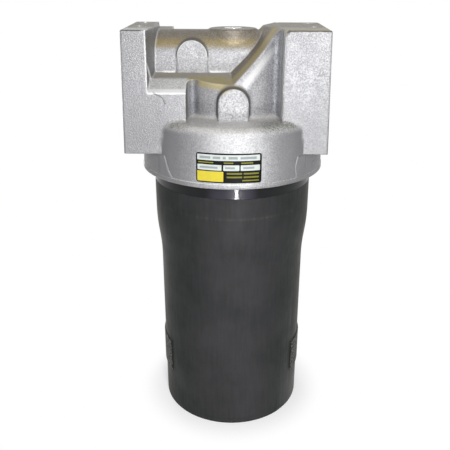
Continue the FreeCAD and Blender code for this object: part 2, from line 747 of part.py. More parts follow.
def make_valve_body():
    """Bypass valve body: a seat at the inlet end and an open sleeve towards the outlet."""
    outer = valve_bore_r - slide_gap
    groove_r = outer - valve_ring_section * ring_squeeze
    groove_end = valve_groove_start + valve_ring_section * groove_stretch
    body = turned([(valve_seat_r, 0), (outer, 0), (outer, valve_groove_start), (groove_r, valve_groove_start),
                   (groove_r, groove_end), (outer, groove_end), (outer, valve_length),
                   (valve_sleeve_bore_r, valve_length), (valve_sleeve_bore_r, valve_seat_length),
                   (valve_seat_r, valve_seat_length)])
    return placed(body, X_AXIS, V(valve_outer_end_x, 0, port_z))


def make_valve_ring():
    outer = valve_bore_r - seal_gap
    inner = valve_bore_r - slide_gap - valve_ring_section * ring_squeeze + seal_gap
    width = valve_ring_section * ring_stretch
    middle = valve_groove_start + valve_ring_section * groove_stretch / 2
    ring = squeezed_ring(inner, outer, width, middle)
    return placed(ring, X_AXIS, V(valve_outer_end_x, 0, port_z))


def make_poppet():
    """Flat-faced poppet with a guide cone in the seat and a stem through the guide."""
    face = valve_seat_length + poppet_lift_off
    poppet = turned([(0, face - poppet_cone_length), (poppet_cone_tip_r, face - poppet_cone_length),
                     (poppet_cone_r, face), (poppet_r, face), (poppet_r, face + poppet_rim),
                     (poppet_stem_r, face + poppet_rim), (poppet_stem_r, face + poppet_stem_length),
                     (0, face + poppet_stem_length)])
    return placed(poppet, X_AXIS, V(valve_outer_end_x, 0, port_z))


def make_valve_guide():
    """Spider pressed into the end of the cage: it guides the stem and seats the spring."""
    start = valve_length - guide_length
    outer = valve_sleeve_bore_r - press_gap
    guide = turned([(outer - guide_spoke, start), (outer, start), (outer, valve_length),
                    (outer - guide_spoke, valve_length)])
    hub = rod(guide_hub_r, guide_length, V(0, 0, start))
    for turn in range(3):
        spoke = block(0, outer - guide_spoke / 2, -guide_spoke / 2, guide_spoke / 2, start, valve_length)
        spoke.rotate(V(0, 0, 0), Z_AXIS, turn * 120)
        hub = hub.fuse(spoke)
    guide = guide.fuse(hub).cut(rod(poppet_stem_r + slide_gap, guide_length, V(0, 0, start)))
    return placed(guide, X_AXIS, V(valve_outer_end_x, 0, port_z))


def make_valve_spring():
    start = valve_seat_length + poppet_lift_off + poppet_rim + rest_gap
    length = valve_length - guide_length - rest_gap - start
    spring = coil(valve_spring_r, valve_wire, start, length, valve_coils)
    return placed(spring, X_AXIS, V(valve_outer_end_x, 0, port_z))


def make_valve_clip():
    """Retaining ring with a gap, sprung into a groove of the valve bore."""
    outer = valve_bore_r + valve_clip_depth - ring_side_gap
    inner = valve_bore_r - valve_clip_inside
    low = -valve_clip_width - ring_side_gap
    high = -ring_side_gap
    ring = turned([(inner, low), (outer, low), (outer, high), (inner, high)])
    gap = block(-valve_clip_gap / 2, valve_clip_gap / 2, 0, 2 * outer, low - 1, 1)
    return placed(ring.cut(gap), X_AXIS, V(valve_outer_end_x, 0, port_z))


def make_bleed_plug():
    """Screw plug with a hexagon socket, its head let into the top boss."""
    under = bleed_seat_z + rest_gap
    top = under + bleed_head_height
    end = under - bleed_thread_length
    outer = bleed_thread_r - bleed_thread_gap
    neck_r = bleed_thread_r - bleed_neck_depth
    neck_end = under - bleed_ring_width - 2 * ring_side_gap
    edge = bleed_head_chamfer
    plug = turned([(0, end), (outer - bleed_lead, end), (outer, end + bleed_lead), (outer, neck_end),
                   (neck_r, neck_end), (neck_r, under), (bleed_head_r, under),
                   (bleed_head_r, top - edge), (bleed_head_r - edge, top), (0, top)])
    corner_r = bleed_hex / math.sqrt(3)
    turns = [math.radians(60 * corner) for corner in range(7)]
    corners = [V(corner_r * math.cos(turn), corner_r * math.sin(turn), top) for turn in turns]
    socket = Part.Face(Part.makePolygon(corners)).extrude(V(0, 0, -bleed_hex_depth))
    return plug.cut(socket)


def make_bleed_ring():
    low = bleed_seat_z + rest_gap - bleed_ring_width - ring_side_gap
    high = low + bleed_ring_width
    inner = bleed_thread_r - bleed_neck_depth + seal_gap
    outer = bleed_thread_r - seal_gap
    return turned([(inner, low), (outer, low), (outer, high), (inner, high)])


PIECES = {
    "head_casting": make_head,
    "bowl": make_bowl,
    "bowl_o_ring": make_bowl_ring,
    "bowl_backup_ring": make_backup_ring,
    "outlet_spigot": make_spigot,
    "element_upper_cap": make_upper_cap,
    "element_seal_ring": make_hub_ring,
    "element_media": make_media,
    "element_core_tube": make_core_tube,
    "element_lower_cap": make_lower_cap,
    "element_spring_seat": make_lift_seat,
    "element_spring": make_lift_spring,
    "bypass_body": make_valve_body,
    "bypass_o_ring": make_valve_ring,
    "bypass_poppet": make_poppet,
    "bypass_spring": make_valve_spring,
    "bypass_guide": make_valve_guide,
    "bypass_retaining_ring": make_valve_clip,
    "bleed_plug": make_bleed_plug,
    "bleed_plug_ring": make_bleed_ring,
}

os.makedirs("parts", exist_ok=True)
for name, make in PIECES.items():
    piece = make()
    piece.exportStep("parts/" + name + ".step")
    print(name, "solids", len(piece.Solids), "valid", piece.isValid(), "cm3", round(piece.Volume / 1000, 2))
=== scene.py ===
import math

import bmesh
import bpy
from mathutils import Matrix, Vector


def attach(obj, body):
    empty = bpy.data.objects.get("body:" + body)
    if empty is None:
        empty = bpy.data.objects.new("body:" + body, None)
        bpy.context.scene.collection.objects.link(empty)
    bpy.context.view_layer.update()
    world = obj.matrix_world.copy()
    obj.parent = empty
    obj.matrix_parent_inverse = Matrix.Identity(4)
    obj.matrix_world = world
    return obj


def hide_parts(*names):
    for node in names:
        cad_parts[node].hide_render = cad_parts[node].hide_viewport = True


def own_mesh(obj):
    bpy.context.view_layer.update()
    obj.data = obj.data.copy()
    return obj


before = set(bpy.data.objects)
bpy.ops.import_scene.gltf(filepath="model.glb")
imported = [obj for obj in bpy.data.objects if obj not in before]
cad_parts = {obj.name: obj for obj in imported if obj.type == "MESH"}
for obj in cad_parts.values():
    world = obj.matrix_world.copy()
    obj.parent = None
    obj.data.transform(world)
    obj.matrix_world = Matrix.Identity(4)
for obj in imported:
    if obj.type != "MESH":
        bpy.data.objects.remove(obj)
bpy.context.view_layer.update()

# An in-line hydraulic filter on the flat base of its bowl. Metres, front towards -Y.

# Camera: a little above the filter and in front of it, looking down at 22.5 degrees. Its place
# and lens were fitted to the rim, the base and the outline of the bowl in the photo.
camera_place = (0, -0.5207, 0.3911)
camera_tilt_deg = 67.47
camera_roll_deg = 0.3
lens = bpy.data.cameras.new("camera")
lens.sensor_width = 36.0
lens.lens = 48.6
lens.shift_x = -0.0155
lens.clip_start = 0.01
camera = bpy.data.objects.new("camera", lens)
bpy.context.scene.collection.objects.link(camera)
tilt = Matrix.Rotation(math.radians(camera_tilt_deg), 4, "X")
roll = Matrix.Rotation(math.radians(camera_roll_deg), 4, "Z")
camera.matrix_world = Matrix.Translation(camera_place) @ tilt @ roll
bpy.context.scene.camera = camera


# Head casting: one aluminium die casting with the port blocks, the cross gallery and the round
# body. The ports, the bowl's thread and the four screw holes are cut afterwards, and their
# helical threads are drawn here, where the solid has plain bores.
X = Vector((1, 0, 0))
Z = Vector((0, 0, 1))
port_z = 0.3252
top_z = 0.352
left_face_x = -0.0835
right_face_x = 0.0735
gallery_r = 0.0234
port_thread_r = 0.01565
port_root_r = 0.01665
port_pitch = 0.00212
port_thread_from = 0.0040
port_thread_to = 0.0190
port_run_out = 0.8
port_tooth = [share * port_pitch for share in (0.38, 0.08)]
port_wall = (0.001, 0.0205)
spotface_r = 0.0245
bowl_thread_r = 0.0665
bowl_thread_inner_r = 0.0651
bowl_thread_pitch = 0.003
bowl_thread_low_z = 0.2425
head_thread_turns = 5.4
head_tooth = (0.0011, 0.00035)
screw_r = 0.00425
screw_root_r = 0.0050
screw_pitch = 0.0015
screw_turns = 8.6
screw_tooth = [share * screw_pitch for share in (0.4, 0.1)]
screw_wall = (-0.0005, 0.0161)
screw_places = [(x, y) for x in (-0.074, 0.064) for y in (-0.018, 0.018)]
thread_sink = 0.0001
port_steps = 48
screw_steps = 28
bowl_steps = 120


def copied(node):
    """A CAD piece's mesh with its loose triangles joined, ready to be worked on."""
    work = bmesh.new()
    work.from_mesh(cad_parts[node].data)
    bmesh.ops.remove_doubles(work, verts=work.verts, dist=2e-6)
    return work


def finished(work, name, body, *materials, sharp=30):
    """Turn a worked mesh into a piece that rides on a body."""
    mesh = bpy.data.meshes.new(name)
    work.to_mesh(mesh)
    work.free()
    if "custom_normal" in mesh.attributes:
        mesh.attributes.remove(mesh.attributes["custom_normal"])
    for polygon in mesh.polygons:
        polygon.use_smooth = True
    mesh.set_sharp_from_angle(angle=math.radians(sharp))
    for material in materials:
        mesh.materials.append(material)
    piece = bpy.data.objects.new(name, mesh)
    bpy.context.scene.collection.objects.link(piece)
    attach(piece, body)
    return piece


def thickened(work, height):
    """Raise a flat mesh into a closed body of one height."""
    grown = bmesh.ops.extrude_face_region(work, geom=work.faces[:])
    raised = [part for part in grown["geom"] if isinstance(part, bmesh.types.BMVert)]
    bmesh.ops.translate(work, vec=(0, 0, height), verts=raised)
    bmesh.ops.recalc_face_normals(work, faces=work.faces)


def profile(root_r, crest_r, flank, crest):
    """A thread's cross-section, corners of (radius, height), sunk a little into its wall."""
    root = root_r + thread_sink
    return [(root, -flank), (root, flank), (crest_r, crest), (crest_r, -crest)]


def ridge(work, start, along, radial, section, pitch, turns, steps):
    """Wind a thread's cross-section round a line as a right-hand helix."""
    corners = [work.verts.new(start + radial * r + along * h) for r, h in section]
    face = work.faces.new(corners)
    bmesh.ops.spin(work, geom=[face, *face.edges, *face.verts], cent=start, axis=along,
                   dvec=along * (pitch / steps), angle=2 * math.pi * turns,
                   steps=int(turns * steps), use_merge=False)


def widened(work, centre, axis, old_r, new_r, low, high):
    """Move a bore's wall out to the root of its thread, between two places along its axis."""
    close = 0.00008
    for vert in work.verts:
        offset = vert.co - centre
        place = offset.dot(axis)
        across = offset - axis * place
        if low <= place <= high and abs(across.length - old_r) < close:
            vert.co = centre + axis * place + across * (new_r / across.length)


def wire(tree, source, target):
    tree.links.new(source, target)


def node(tree, kind, values=None, **settings):
    """A new node with its settings and its inputs' plain values."""
    made = tree.nodes.new(kind)
    for name, value in settings.items():
        setattr(made, name, value)
    for title, value in (values or {}).items():
        made.inputs[title].default_value = value
    return made


def ramp(tree, source, low, high, to_low=0.0, to_high=1.0, kind="LINEAR"):
    """Stretch a value from one range to another, held at the ends."""
    made = node(tree, "ShaderNodeMapRange",
                {"From Min": low, "From Max": high, "To Min": to_low, "To Max": to_high},
                interpolation_type=kind)
    wire(tree, source, made.inputs["Value"])
    return made.outputs["Result"]


def worked(tree, operation, *terms):
    """One step of arithmetic on sockets and plain numbers."""
    made = node(tree, "ShaderNodeMath", operation=operation)
    for socket, term in zip(made.inputs, terms):
        if isinstance(term, bpy.types.NodeSocket):
            wire(tree, term, socket)
        else:
            socket.default_value = term
    return made.outputs["Value"]


def product(tree, first, *others):
    """Masks and factors, multiplied together."""
    for other in others:
        first = worked(tree, "MULTIPLY", first, other)
    return first


def largest(tree, first, *others):
    """The largest of several masks."""
    for other in others:
        first = worked(tree, "MAXIMUM", first, other)
    return first


def band(tree, source, low, full_from, full_to, high, kind="LINEAR"):
    """A mask that is 1 between two values and fades to 0 outside them."""
    return product(tree, ramp(tree, source, low, full_from, kind=kind),
                   ramp(tree, source, high, full_to, kind=kind))


def gap_to(tree, source, value):
    """How far a socket is from a value, either way."""
    return worked(tree, "ABSOLUTE", worked(tree, "SUBTRACT", source, value))


def length_of(tree, one, other):
    """The length of two steps at right angles."""
    squares = [worked(tree, "MULTIPLY", step, step) for step in (one, other)]
    return worked(tree, "SQRT", worked(tree, "ADD", *squares))


def mixed(tree, factor, first, second):
    """A blend of two colours, each a socket or three numbers."""
    made = node(tree, "ShaderNodeMix", data_type="RGBA")
    wire(tree, factor, made.inputs["Factor"])
    for title, colour in (("A", first), ("B", second)):
        if isinstance(colour, bpy.types.NodeSocket):
            wire(tree, colour, made.inputs[title])
        else:
            made.inputs[title].default_value = (*colour, 1)
    return made.outputs["Result"]


def split(tree, kind, output):
    """The X, Y and Z of what an input node puts out."""
    made = node(tree, "ShaderNodeSeparateXYZ")
    wire(tree, node(tree, kind).outputs[output], made.inputs["Vector"])
    return made.outputs["X"], made.outputs["Y"], made.outputs["Z"]


def bumped(tree, shader, height, strength, distance, under=None, invert=False):
    """Let a value raise the surface, over a normal if one is given."""
    bump = node(tree, "ShaderNodeBump", {"Strength": strength, "Distance": distance},
                invert=invert)
    wire(tree, height, bump.inputs["Height"])
    if under:
        wire(tree, under, bump.inputs["Normal"])
    wire(tree, bump.outputs["Normal"], shader.inputs["Normal"])


def effect(name, inputs, outputs):
    """An empty node group with number inputs and the outputs that it is told."""
    group = bpy.data.node_groups.new(name, "ShaderNodeTree")
    for title, value in inputs.items():
        socket = group.interface.new_socket(title, in_out="INPUT", socket_type="NodeSocketFloat")
        socket.default_value = value
    for title, kind in outputs.items():
        group.interface.new_socket(title, in_out="OUTPUT", socket_type=kind)
    return group, group.nodes.new("NodeGroupInput"), group.nodes.new("NodeGroupOutput")


def material_for(name, colour, metallic, roughness, ior=1.5, level=0.5):
    """A material with its Principled shader's plain values set, and its tree to build on."""
    material = bpy.data.materials.new(name)
    material.use_nodes = True
    shader = material.node_tree.nodes["Principled BSDF"]
    for title, value in (("Base Color", (*colour, 1)), ("Metallic", metallic),
                         ("Roughness", roughness), ("IOR", ior), ("Specular IOR Level", level)):
        shader.inputs[title].default_value = value
    return material, material.node_tree, shader


# Cloudy tone and fine speckle of a metal surface, in Object coordinates.
metal_mottle, given, result = effect(
    "metal mottle", {"Cloud Scale": 60.0, "Speckle Scale": 900.0},
    {"Cloud": "NodeSocketFloat", "Speckle": "NodeSocketFloat"})
place = node(metal_mottle, "ShaderNodeTexCoord")
for title, detail, roughness in (("Cloud", 4.0, 0.62), ("Speckle", 2.0, 0.7)):
    texture = node(metal_mottle, "ShaderNodeTexNoise", {"Detail": detail, "Roughness": roughness})
    wire(metal_mottle, place.outputs["Object"], texture.inputs["Vector"])
    wire(metal_mottle, given.outputs[title + " Scale"], texture.inputs["Scale"])
    wire(metal_mottle, texture.outputs["Fac"], result.inputs[title])

# Rounded edges: the normal of a small radius on every edge, and a mask that is 1 on the edge.
rounded_edge, given, result = effect(
    "rounded edge", {"Radius": 0.001}, {"Normal": "NodeSocketVector", "Edge": "NodeSocketFloat"})
rounding = node(rounded_edge, "ShaderNodeBevel", samples=6)
geometry = node(rounded_edge, "ShaderNodeNewGeometry")
turned = node(rounded_edge, "ShaderNodeVectorMath", operation="DOT_PRODUCT")
wire(rounded_edge, given.outputs["Radius"], rounding.inputs["Radius"])
wire(rounded_edge, rounding.outputs["Normal"], turned.inputs[0])
wire(rounded_edge, geometry.outputs["Normal"], turned.inputs[1])
wire(rounded_edge, rounding.outputs["Normal"], result.inputs["Normal"])
wire(rounded_edge, ramp(rounded_edge, turned.outputs["Value"], 0.997, 0.93),
     result.inputs["Edge"])

# Painted shadow in the corner round a boss that faces forward: a dark arch round the boss's wall.
boss_shadow, given, result = effect(
    "boss shadow", {"X": 0.0, "Z": 0.0, "Lowest": 0.0, "Radius": 0.0122},
    {"Shadow": "NodeSocketFloat", "Face": "NodeSocketFloat"})
at_x, _, at_z = split(boss_shadow, "ShaderNodeTexCoord", "Object")
aside = worked(boss_shadow, "SUBTRACT", at_x, given.outputs["X"])
above = worked(boss_shadow, "SUBTRACT", at_z, given.outputs["Z"])
from_axis = length_of(boss_shadow, aside, worked(boss_shadow, "MAXIMUM", above, 0.0))
off_wall = worked(boss_shadow, "SUBTRACT", from_axis, given.outputs["Radius"])
over_foot = worked(boss_shadow, "SUBTRACT", at_z, given.outputs["Lowest"])
arch = product(boss_shadow,
               band(boss_shadow, off_wall, -0.0005, 0.0, 0.0004, 0.0022, kind="SMOOTHSTEP"),
               ramp(boss_shadow, over_foot, 0.0, 0.004, kind="SMOOTHSTEP"))
wire(boss_shadow, arch, result.inputs["Shadow"])
wire(boss_shadow, product(boss_shadow, ramp(boss_shadow, off_wall, -0.0002, -0.0012),
                         ramp(boss_shadow, over_foot, 0.0, 0.002)), result.inputs["Face"])

# The cast surface. Its masks follow the photo's lighter, darker and coloured places by their
# position (at_x, at_y, at_z) and by the way the surface faces (to_x, to_y, to_z).
# Of these colours, the first two are the metal's own tones. The near-white one paints highlights,
# and the rest paint reflections and light on upward faces, and shade. The exceptions are the
# olive, which only darkens the shoulder's ends, and the darkest, which also colours a scratch.
cast_dark = (0.215, 0.215, 0.225)
cast_light = (0.47, 0.47, 0.485)
highlight_white = (0.90, 0.90, 0.90)
top_reflection_brown = (0.165, 0.138, 0.095)
flank_shade_dark = (0.12, 0.12, 0.125)
lit_shoulder_dark = (0.52, 0.50, 0.46)
lit_shoulder_beige = (0.98, 0.96, 0.93)
slope_reflection_gold = (0.255, 0.195, 0.072)
diagonal_reflection_gold = (0.46, 0.36, 0.13)
shoulder_end_olive = (0.12, 0.125, 0.10)
shelf_reflection_olive = (0.34, 0.31, 0.245)
shelf_reflection_gold = (0.38, 0.32, 0.155)
lit_ledge_grey = (0.36, 0.36, 0.355)
lit_ledge_pale = (0.92, 0.92, 0.90)
wall_shade_grey = (0.15, 0.15, 0.147)
neck_shade_dark = (0.07, 0.075, 0.09)
neck_shade_light = (0.22, 0.225, 0.245)
shade_and_scratch_dark = (0.075, 0.072, 0.07)
shelf_back_z = 0.3174
shelf_fall = 0.2586
boss_one_x, boss_one_z, boss_one_foot = -0.0324, 0.330, 0.3265
boss_two_x, boss_two_z, boss_two_foot = 0.0006, 0.2972, 0.2850
head_middle_x = -0.005
blend_middle_x = -0.006
edge_middle_x = -0.019
foot_x = -0.030
foot_side = (-0.0355, -0.0335)
stripe_x, stripe_z = 0.0070, 0.3071
stripe_across = (0.788, 0.616)
scratch_x, scratch_z = -0.064, 0.2935
cast, tree, shader = material_for("cast_aluminium", cast_light, 0.3, 0.45)
mottle = node(tree, "ShaderNodeGroup", {"Cloud Scale": 130.0, "Speckle Scale": 880.0},
              node_tree=metal_mottle)
at_x, at_y, at_z = split(tree, "ShaderNodeTexCoord", "Object")
to_x, to_y, to_z = split(tree, "ShaderNodeNewGeometry", "Normal")
side_on = worked(tree, "ABSOLUTE", to_x)
round_r = length_of(tree, at_x, at_y)

# The blends are wide inside, between the blocks, and tight along the blocks' own edges.
edges = node(tree, "ShaderNodeGroup", node_tree=rounded_edge)
off_middle = gap_to(tree, at_x, blend_middle_x)
blend_r = product(tree, ramp(tree, off_middle, 0.052, 0.070, 0.0030, 0.0014),
                  ramp(tree, gap_to(tree, at_x, foot_x), 0.007, 0.012, 0.35, 1.0))
wire(tree, blend_r, edges.inputs["Radius"])

# Painted shade makes the skin greyer towards the left, round the body's flanks and low on the
# blocks, and a painted highlight makes it lighter on the front of the round body.
cloud = ramp(tree, mottle.outputs["Cloud"], 0.34, 0.64)
grain = ramp(tree, mottle.outputs["Speckle"], 0.35, 0.65)
tone = worked(tree, "MULTIPLY_ADD", grain, 0.76, worked(tree, "MULTIPLY", cloud, 0.24))
skin = mixed(tree, tone, cast_dark, cast_light)
leftward_shade = ramp(tree, at_x, 0.010, -0.075, 0.0, 0.55)
skin = mixed(tree, leftward_shade, skin, cast_dark)
flank = product(tree, ramp(tree, side_on, 0.28, 0.66), ramp(tree, side_on, 0.999, 0.960),
                ramp(tree, to_z, 0.55, 0.15), ramp(tree, at_z, 0.286, 0.280),
                ramp(tree, at_y, 0.020, -0.025, kind="SMOOTHSTEP"), 0.85)
skin = mixed(tree, flank, skin, flank_shade_dark)
from_centre = gap_to(tree, at_x, head_middle_x)
low_shade = product(tree, ramp(tree, at_z, 0.318, 0.270), ramp(tree, from_centre, 0.036, 0.044),
                   0.50)
skin = mixed(tree, low_shade, skin, cast_dark)
body_front_highlight = product(tree, ramp(tree, side_on, 0.40, 0.15), ramp(tree, at_z, 0.2840, 0.2800),
                     ramp(tree, at_z, 0.2390, 0.2430), ramp(tree, from_centre, 0.044, 0.030),
                     0.16)
skin = mixed(tree, body_front_highlight, skin, highlight_white)

# Whatever looks upwards gets a painted reflection, browner on the flats and golden on the slopes
# and along the front rims of the ledges. Low down, on the round body's shoulder, it is painted
# beige light.
by_top_boss = product(tree, ramp(tree, round_r, 0.0245, 0.0235), ramp(tree, at_z, 0.330, 0.334))
up_gallery = worked(tree, "MULTIPLY_ADD", at_z, 1 / gallery_r, -port_z / gallery_r)
lean = largest(tree, to_z, product(tree, by_top_boss, up_gallery))
slope = ramp(tree, lean, 0.36, 0.60, kind="SMOOTHSTEP")
flat = ramp(tree, lean, 0.64, 0.84, kind="SMOOTHSTEP")
rim = mixed(tree, ramp(tree, at_x, -0.0365, -0.0335),
            mixed(tree, tone, lit_ledge_grey, lit_ledge_pale), shelf_reflection_gold)
ledge = mixed(tree, ramp(tree, at_y, -0.0325, -0.0375, kind="SMOOTHSTEP"), shelf_reflection_olive, rim)
flat_light = mixed(tree, ramp(tree, at_y, -0.0242, -0.0228), ledge, top_reflection_brown)
on_diagonal = product(tree, ramp(tree, at_x, -0.003, 0.0), ramp(tree, round_r, 0.0245, 0.0265))
across = mixed(tree, ramp(tree, round_r, 0.0330, 0.0385, kind="SMOOTHSTEP"), top_reflection_brown,
               diagonal_reflection_gold)
across = mixed(tree, ramp(tree, round_r, 0.0420, 0.0460, 0.0, 0.7), across, lit_ledge_grey)
slope_light = mixed(tree, on_diagonal, slope_reflection_gold, across)
upward_light = mixed(tree, ramp(tree, at_z, 0.289, 0.312),
             mixed(tree, tone, lit_shoulder_dark, lit_shoulder_beige),
             mixed(tree, flat, slope_light, flat_light))
thick = product(tree, slope, ramp(tree, at_z, 0.287, 0.291))
thin = ramp(tree, to_z, 0.35, 0.90, 0.0, 0.80)
patchy = ramp(tree, tone, 0.2, 0.8, 0.97, 0.72)
tinted = mixed(tree, product(tree, largest(tree, thick, thin), patchy), skin, upward_light)

# The shelf's front rim is rolled over, and the painted golden reflection follows it round.
shelf_z = worked(tree, "MULTIPLY_ADD", worked(tree, "ADD", at_y, gallery_r), shelf_fall,
                 shelf_back_z)
under_shelf = worked(tree, "SUBTRACT", shelf_z, at_z)
rolled = product(tree, ramp(tree, under_shelf, 0.0065, 0.0020, kind="SMOOTHSTEP"),
                 band(tree, at_x, *foot_side, -0.008, -0.002),
                 ramp(tree, at_y, -0.030, -0.034), 0.9)
tinted = mixed(tree, rolled, tinted, shelf_reflection_gold)

# Walls that face sideways in the recesses on the left are darkened with painted shade, and
# painted shade darkens a strip along each side of the neck.
wall_shade = product(tree, ramp(tree, to_x, 0.5, 0.9), ramp(tree, at_x, -0.030, -0.033),
                    ramp(tree, at_y, -0.026, -0.046, 0.30, 0.88))
tinted = mixed(tree, wall_shade, tinted, wall_shade_grey)
on_neck = product(tree, ramp(tree, to_y, -0.62, -0.85), ramp(tree, at_y, -0.0490, -0.0478),
                  ramp(tree, at_z, 0.284, 0.287))
left_strip = product(tree, band(tree, at_x, -0.0350, -0.0340, -0.0280, -0.0255),
                     ramp(tree, at_z, 0.3175, 0.3150))
right_strip = band(tree, at_x, 0.0240, 0.0335, 0.0405, 0.0420)
neck_shade = product(tree, largest(tree, left_strip, right_strip), on_neck, 0.80)
tinted = mixed(tree, neck_shade, tinted, mixed(tree, tone, neck_shade_dark, neck_shade_light))

# The shoulder is darker and greenish olive along its two ends.
ends = largest(tree, ramp(tree, at_x, 0.014, 0.026), ramp(tree, at_x, -0.032, -0.042))
darker_ends = product(tree, ends, ramp(tree, to_z, 0.40, 0.70), ramp(tree, at_z, 0.2870, 0.2850),
               ramp(tree, round_r, 0.0530, 0.0600), ramp(tree, tone, 0.75, 0.25, 0.25, 0.75))
tinted = mixed(tree, darker_ends, tinted, shoulder_end_olive)

# Three places get a painted highlight: the rounded front corner of the left ledge, the right
# block's wall beside its front face, and a stripe across the neck under the diagonal.
ledge_highlight = product(tree, band(tree, to_z, 0.12, 0.30, 0.85, 0.97),
                      band(tree, at_z, 0.2950, 0.2970, 0.3110, 0.3130),
                      ramp(tree, at_y, -0.0465, -0.0480), ramp(tree, at_x, -0.030, -0.032))
right_wall_highlight = product(tree, ramp(tree, to_x, -0.60, -0.85), ramp(tree, at_x, 0.030, 0.033),
                     ramp(tree, at_y, -0.036, -0.042, 0.0, 0.7))
past_x, past_z = (
    worked(tree, "MULTIPLY_ADD", at, share, -start * share)
    for at, share, start in zip((at_x, at_z), stripe_across, (stripe_x, stripe_z)))
off_stripe = worked(tree, "ABSOLUTE", worked(tree, "SUBTRACT", past_x, past_z))
stripe = product(tree, ramp(tree, off_stripe, 0.0050, 0.0006, kind="SMOOTHSTEP"),
                 ramp(tree, to_z, 0.40, 0.15), ramp(tree, at_x, 0.002, 0.009),
                 ramp(tree, at_z, 0.340, 0.329), ramp(tree, at_y, -0.027, -0.030, 0.0, 0.55),
                 ramp(tree, at_y, -0.0500, -0.0485))
tinted = mixed(tree, largest(tree, ledge_highlight, right_wall_highlight, stripe), tinted, highlight_white)

# Edges get a painted highlight, but not by the bosses and on the rim.
by_boss_one = product(tree, ramp(tree, gap_to(tree, at_x, boss_one_x), 0.0145, 0.0135),
                      band(tree, at_z, 0.3160, 0.3170, 0.3265, 0.3300),
                      band(tree, at_y, -0.0275, -0.0260, -0.0215, -0.0200))
on_rim = product(tree, ramp(tree, at_x, *foot_side), ramp(tree, at_y, -0.0290, -0.0320), 0.85)
no_edge_highlight = largest(tree, by_top_boss, by_boss_one, on_rim)
left_end = product(tree, ramp(tree, at_x, -0.0540, -0.0570), ramp(tree, at_y, -0.0440, -0.0400))
edge_highlight = product(tree, ramp(tree, at_z, 0.302, 0.307, 0.1, 1.0),
                    ramp(tree, gap_to(tree, at_x, edge_middle_x), 0.0505, 0.0490, 0.1, 1.0),
                    worked(tree, "SUBTRACT", 1.0, no_edge_highlight),
                    ramp(tree, at_x, -0.010, -0.003, 1.0, 0.35),
                    worked(tree, "MULTIPLY_ADD", left_end, -0.6, 1.0))
# The sides of the first boss get a painted highlight.
boss_side_highlight = product(tree, by_boss_one, ramp(tree, side_on, 0.1, 0.4, 0.0, 0.8))
tinted = mixed(tree, boss_side_highlight, tinted, highlight_white)
# Painted shade draws a dark line along the rounded front edges of the blocks' tops.
top_edge_shade = product(tree, band(tree, to_z, 0.10, 0.25, 0.90, 0.98),
                    ramp(tree, at_z, 0.3495, 0.3505), ramp(tree, at_y, -0.0460, -0.0475), 0.85)
tinted = mixed(tree, top_edge_shade, tinted, shade_and_scratch_dark)
edge_lit = mixed(tree, product(tree, edges.outputs["Edge"], edge_highlight), tinted, highlight_white)

# The two front bosses get a slight painted highlight on their faces, and a painted shadow in the
# corner round their walls.
shadows, faces = [], []
for middle_x, middle_z, foot in ((boss_one_x, boss_one_z, boss_one_foot),
                                 (boss_two_x, boss_two_z, boss_two_foot)):
    ring = node(tree, "ShaderNodeGroup", {"X": middle_x, "Z": middle_z, "Lowest": foot},
                node_tree=boss_shadow)
    shadows.append(ring.outputs["Shadow"])
    faces.append(ring.outputs["Face"])
in_front = ramp(tree, at_y, -0.010, -0.014)
boss_face_highlight = product(tree, ramp(tree, to_y, -0.97, -0.99), in_front, largest(tree, *faces),
                    ramp(tree, tone, 0.0, 1.0, 0.0, 0.12))
edge_lit = mixed(tree, boss_face_highlight, edge_lit, highlight_white)
shadowed_and_scratched = mixed(tree, product(tree, largest(tree, *shadows), in_front, 0.85), edge_lit, shade_and_scratch_dark)

# One short curved scratch on the front of the left block.
along = worked(tree, "SUBTRACT", at_x, scratch_x)
up = worked(tree, "SUBTRACT", at_z, scratch_z)
scratch_r = ramp(tree, mottle.outputs["Cloud"], 0.3, 0.7, 0.0116, 0.0136)
off_scratch = gap_to(tree, length_of(tree, along, up), scratch_r)
scratch = product(tree, ramp(tree, off_scratch, 0.0009, 0.0003),
                  ramp(tree, at_y, -0.0490, -0.0500), ramp(tree, along, 0.0020, 0.0035),
                  ramp(tree, up, 0.0030, 0.0045), 0.7)
shadowed_and_scratched = mixed(tree, scratch, shadowed_and_scratched, shade_and_scratch_dark)
wire(tree, shadowed_and_scratched, shader.inputs["Base Color"])
wire(tree, ramp(tree, tone, 0.0, 1.0, 0.49, 0.35), shader.inputs["Roughness"])
bumped(tree, shader, tone, 0.45, 0.0004, under=edges.outputs["Normal"])


def mottled(tree, shader, scales, colours=None, rough=None, rough_by="Speckle"):
    """Let the mottle vary a material's colour, from one to another, and its roughness."""
    mottle = node(tree, "ShaderNodeGroup", scales, node_tree=metal_mottle)
    if colours:
        wire(tree, mixed(tree, mottle.outputs["Cloud"], *colours), shader.inputs["Base Color"])
    if rough:
        wire(tree, ramp(tree, mottle.outputs[rough_by], *rough), shader.inputs["Roughness"])


def softened(tree, shader, radius):
    """Round a material's edges by their normal."""
    edges = node(tree, "ShaderNodeGroup", {"Radius": radius}, node_tree=rounded_edge)
    wire(tree, edges.outputs["Normal"], shader.inputs["Normal"])


# Milled and bored faces of the casting are brighter.
milled, tree, shader = material_for("milled_aluminium", (0.62, 0.62, 0.61), 0.95, 0.3)
mottled(tree, shader, {"Cloud Scale": 90.0, "Speckle Scale": 1600.0},
        colours=((0.50, 0.50, 0.485), (0.68, 0.68, 0.675)), rough=(0.3, 0.7, 0.24, 0.38))
softened(tree, shader, 0.0004)

